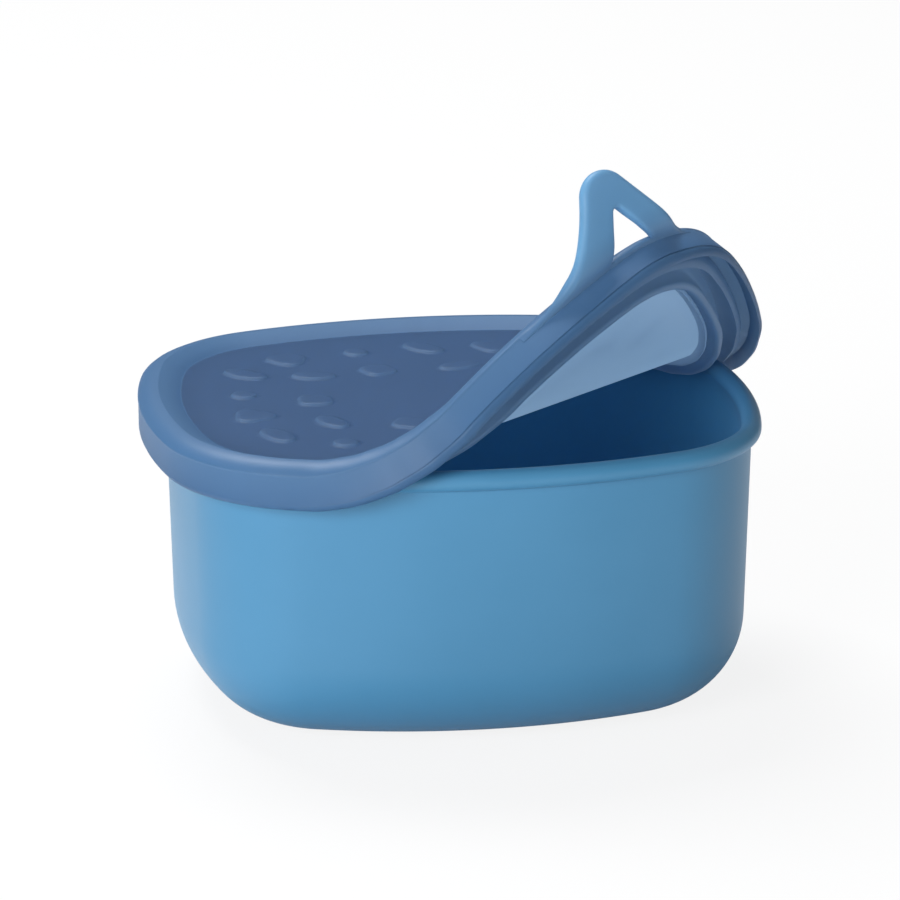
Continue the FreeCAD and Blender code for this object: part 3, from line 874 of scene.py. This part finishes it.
lid_materials = [
    lid_material("lid_rim", RIM_TONES, RIM_THROUGH),
    lid_material("lid_panel", PANEL_TONES, PANEL_THROUGH),
]
for number, piece in enumerate(make_lid()):
    for material in lid_materials:
        piece.data.materials.append(material)
    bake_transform(piece)
    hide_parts(*REPLACED[number])


# Stage and light, in metres and watts.
WHITE, SKY_COLOUR, STAGE_COLOUR = (1, 1, 1, 1), (0.93, 0.96, 1.0, 1), (0.86, 0.86, 0.86, 1)
SKY_STRENGTH = 0.2
STAGE_SIZE, STAGE_DROP, STAGE_ROUGHNESS = 12.0, 0.0005, 0.9
# Share of plain white in what the camera sees of the floor.
STAGE_GLOW = 0.86


def floor_material():
    """Pale matt floor with a white glow that only the camera sees."""
    material, nodes, links = new_material("floor")
    shader = nodes["Principled BSDF"]
    shader.inputs["Base Color"].default_value = STAGE_COLOUR
    shader.inputs["Roughness"].default_value = STAGE_ROUGHNESS
    glow = nodes.new("ShaderNodeEmission")
    glow.inputs["Color"].default_value = WHITE
    glow.inputs["Strength"].default_value = 1.0
    share = nodes.new("ShaderNodeMath")
    share.operation = "MULTIPLY"
    share.inputs[1].default_value = STAGE_GLOW
    links.new(nodes.new("ShaderNodeLightPath").outputs["Is Camera Ray"], share.inputs[0])
    factor = mixed(nodes, links, shader.outputs["BSDF"], glow.outputs["Emission"], "Material Output")
    links.new(share.outputs["Value"], factor)
    return material


def make_sky():
    """Weak light from all round, with plain white where the camera sees past the floor."""
    world = bpy.data.worlds.new("studio")
    bpy.context.scene.world = world
    world.use_nodes = True
    nodes, links = world.node_tree.nodes, world.node_tree.links
    sky = nodes["Background"]
    sky.inputs["Color"].default_value = SKY_COLOUR
    sky.inputs["Strength"].default_value = SKY_STRENGTH
    white = nodes.new("ShaderNodeBackground")
    white.inputs["Color"].default_value = WHITE
    white.inputs["Strength"].default_value = 1.0
    factor = mixed(nodes, links, sky.outputs["Background"], white.outputs["Background"], "World Output")
    links.new(nodes.new("ShaderNodeLightPath").outputs["Is Camera Ray"], factor)


def soft_light(name, place, aim, size, power):
    """A wide area light at a place, turned towards its aim."""
    lamp = bpy.data.lights.new(name, "AREA")
    lamp.shape = "RECTANGLE"
    lamp.size, lamp.size_y = size
    lamp.energy = power
    thing = bpy.data.objects.new(name, lamp)
    thing.location = place
    thing.rotation_euler = (Vector(aim) - Vector(place)).to_track_quat("-Z", "Y").to_euler()
    bpy.context.scene.collection.objects.link(thing)


bpy.ops.mesh.primitive_plane_add(size=STAGE_SIZE, location=(0, 0, -STAGE_DROP))
ground = bpy.context.object
ground.name = "floor"
ground.data.materials.append(floor_material())

make_sky()
soft_light("key", place=(-0.75, -0.95, 0.5), aim=(0, 0, 0.04), size=(0.6, 0.6), power=12.0)
soft_light("top", place=(-0.25, 0.55, 1.2), aim=(0, 0, 0.08), size=(0.7, 0.7), power=16.5)

# Camera, fitted to the photo's square frame: its focal length and the place of the part's
# origin in pixels, its distance from that origin in metres, and its bearing in degrees.
FRAME_SIZE, FOCAL, ORIGIN_X, ORIGIN_Y = 900.0, 5144.5, 456.70, 674.51
DISTANCE, YAW, ELEVATION = 1.1365, -8.7074, 19.7041
# Width of the sensor in millimetres, and the nearest and farthest distance seen in metres.
SENSOR, NEAREST, FARTHEST = 36.0, 0.01, 100.0


def place_camera():
    """Put the camera where the photo was taken from, aimed at the middle of the frame."""
    yaw, rise = math.radians(YAW), math.radians(ELEVATION)
    right = Vector((math.cos(yaw), math.sin(yaw), 0))
    back = Vector((math.sin(yaw) * math.cos(rise), -math.cos(yaw) * math.cos(rise), math.sin(rise)))
    up = back.cross(right)
    middle = FRAME_SIZE / 2
    aim = -back * FOCAL + right * (middle - ORIGIN_X) - up * (middle - ORIGIN_Y)
    aim.normalize()
    side = aim.cross(up).normalized()
    head = side.cross(aim)
    lens = bpy.data.cameras.new("camera")
    lens.sensor_width = SENSOR
    lens.lens = FOCAL * SENSOR / FRAME_SIZE
    lens.clip_start, lens.clip_end = NEAREST, FARTHEST
    camera = bpy.data.objects.new("camera", lens)
    turn = Matrix((side, head, -aim)).transposed().to_4x4()
    camera.matrix_world = Matrix.Translation(back * DISTANCE) @ turn
    bpy.context.scene.collection.objects.link(camera)
    bpy.context.scene.camera = camera


place_camera()
bpy.context.scene.view_settings.view_transform = "Standard"
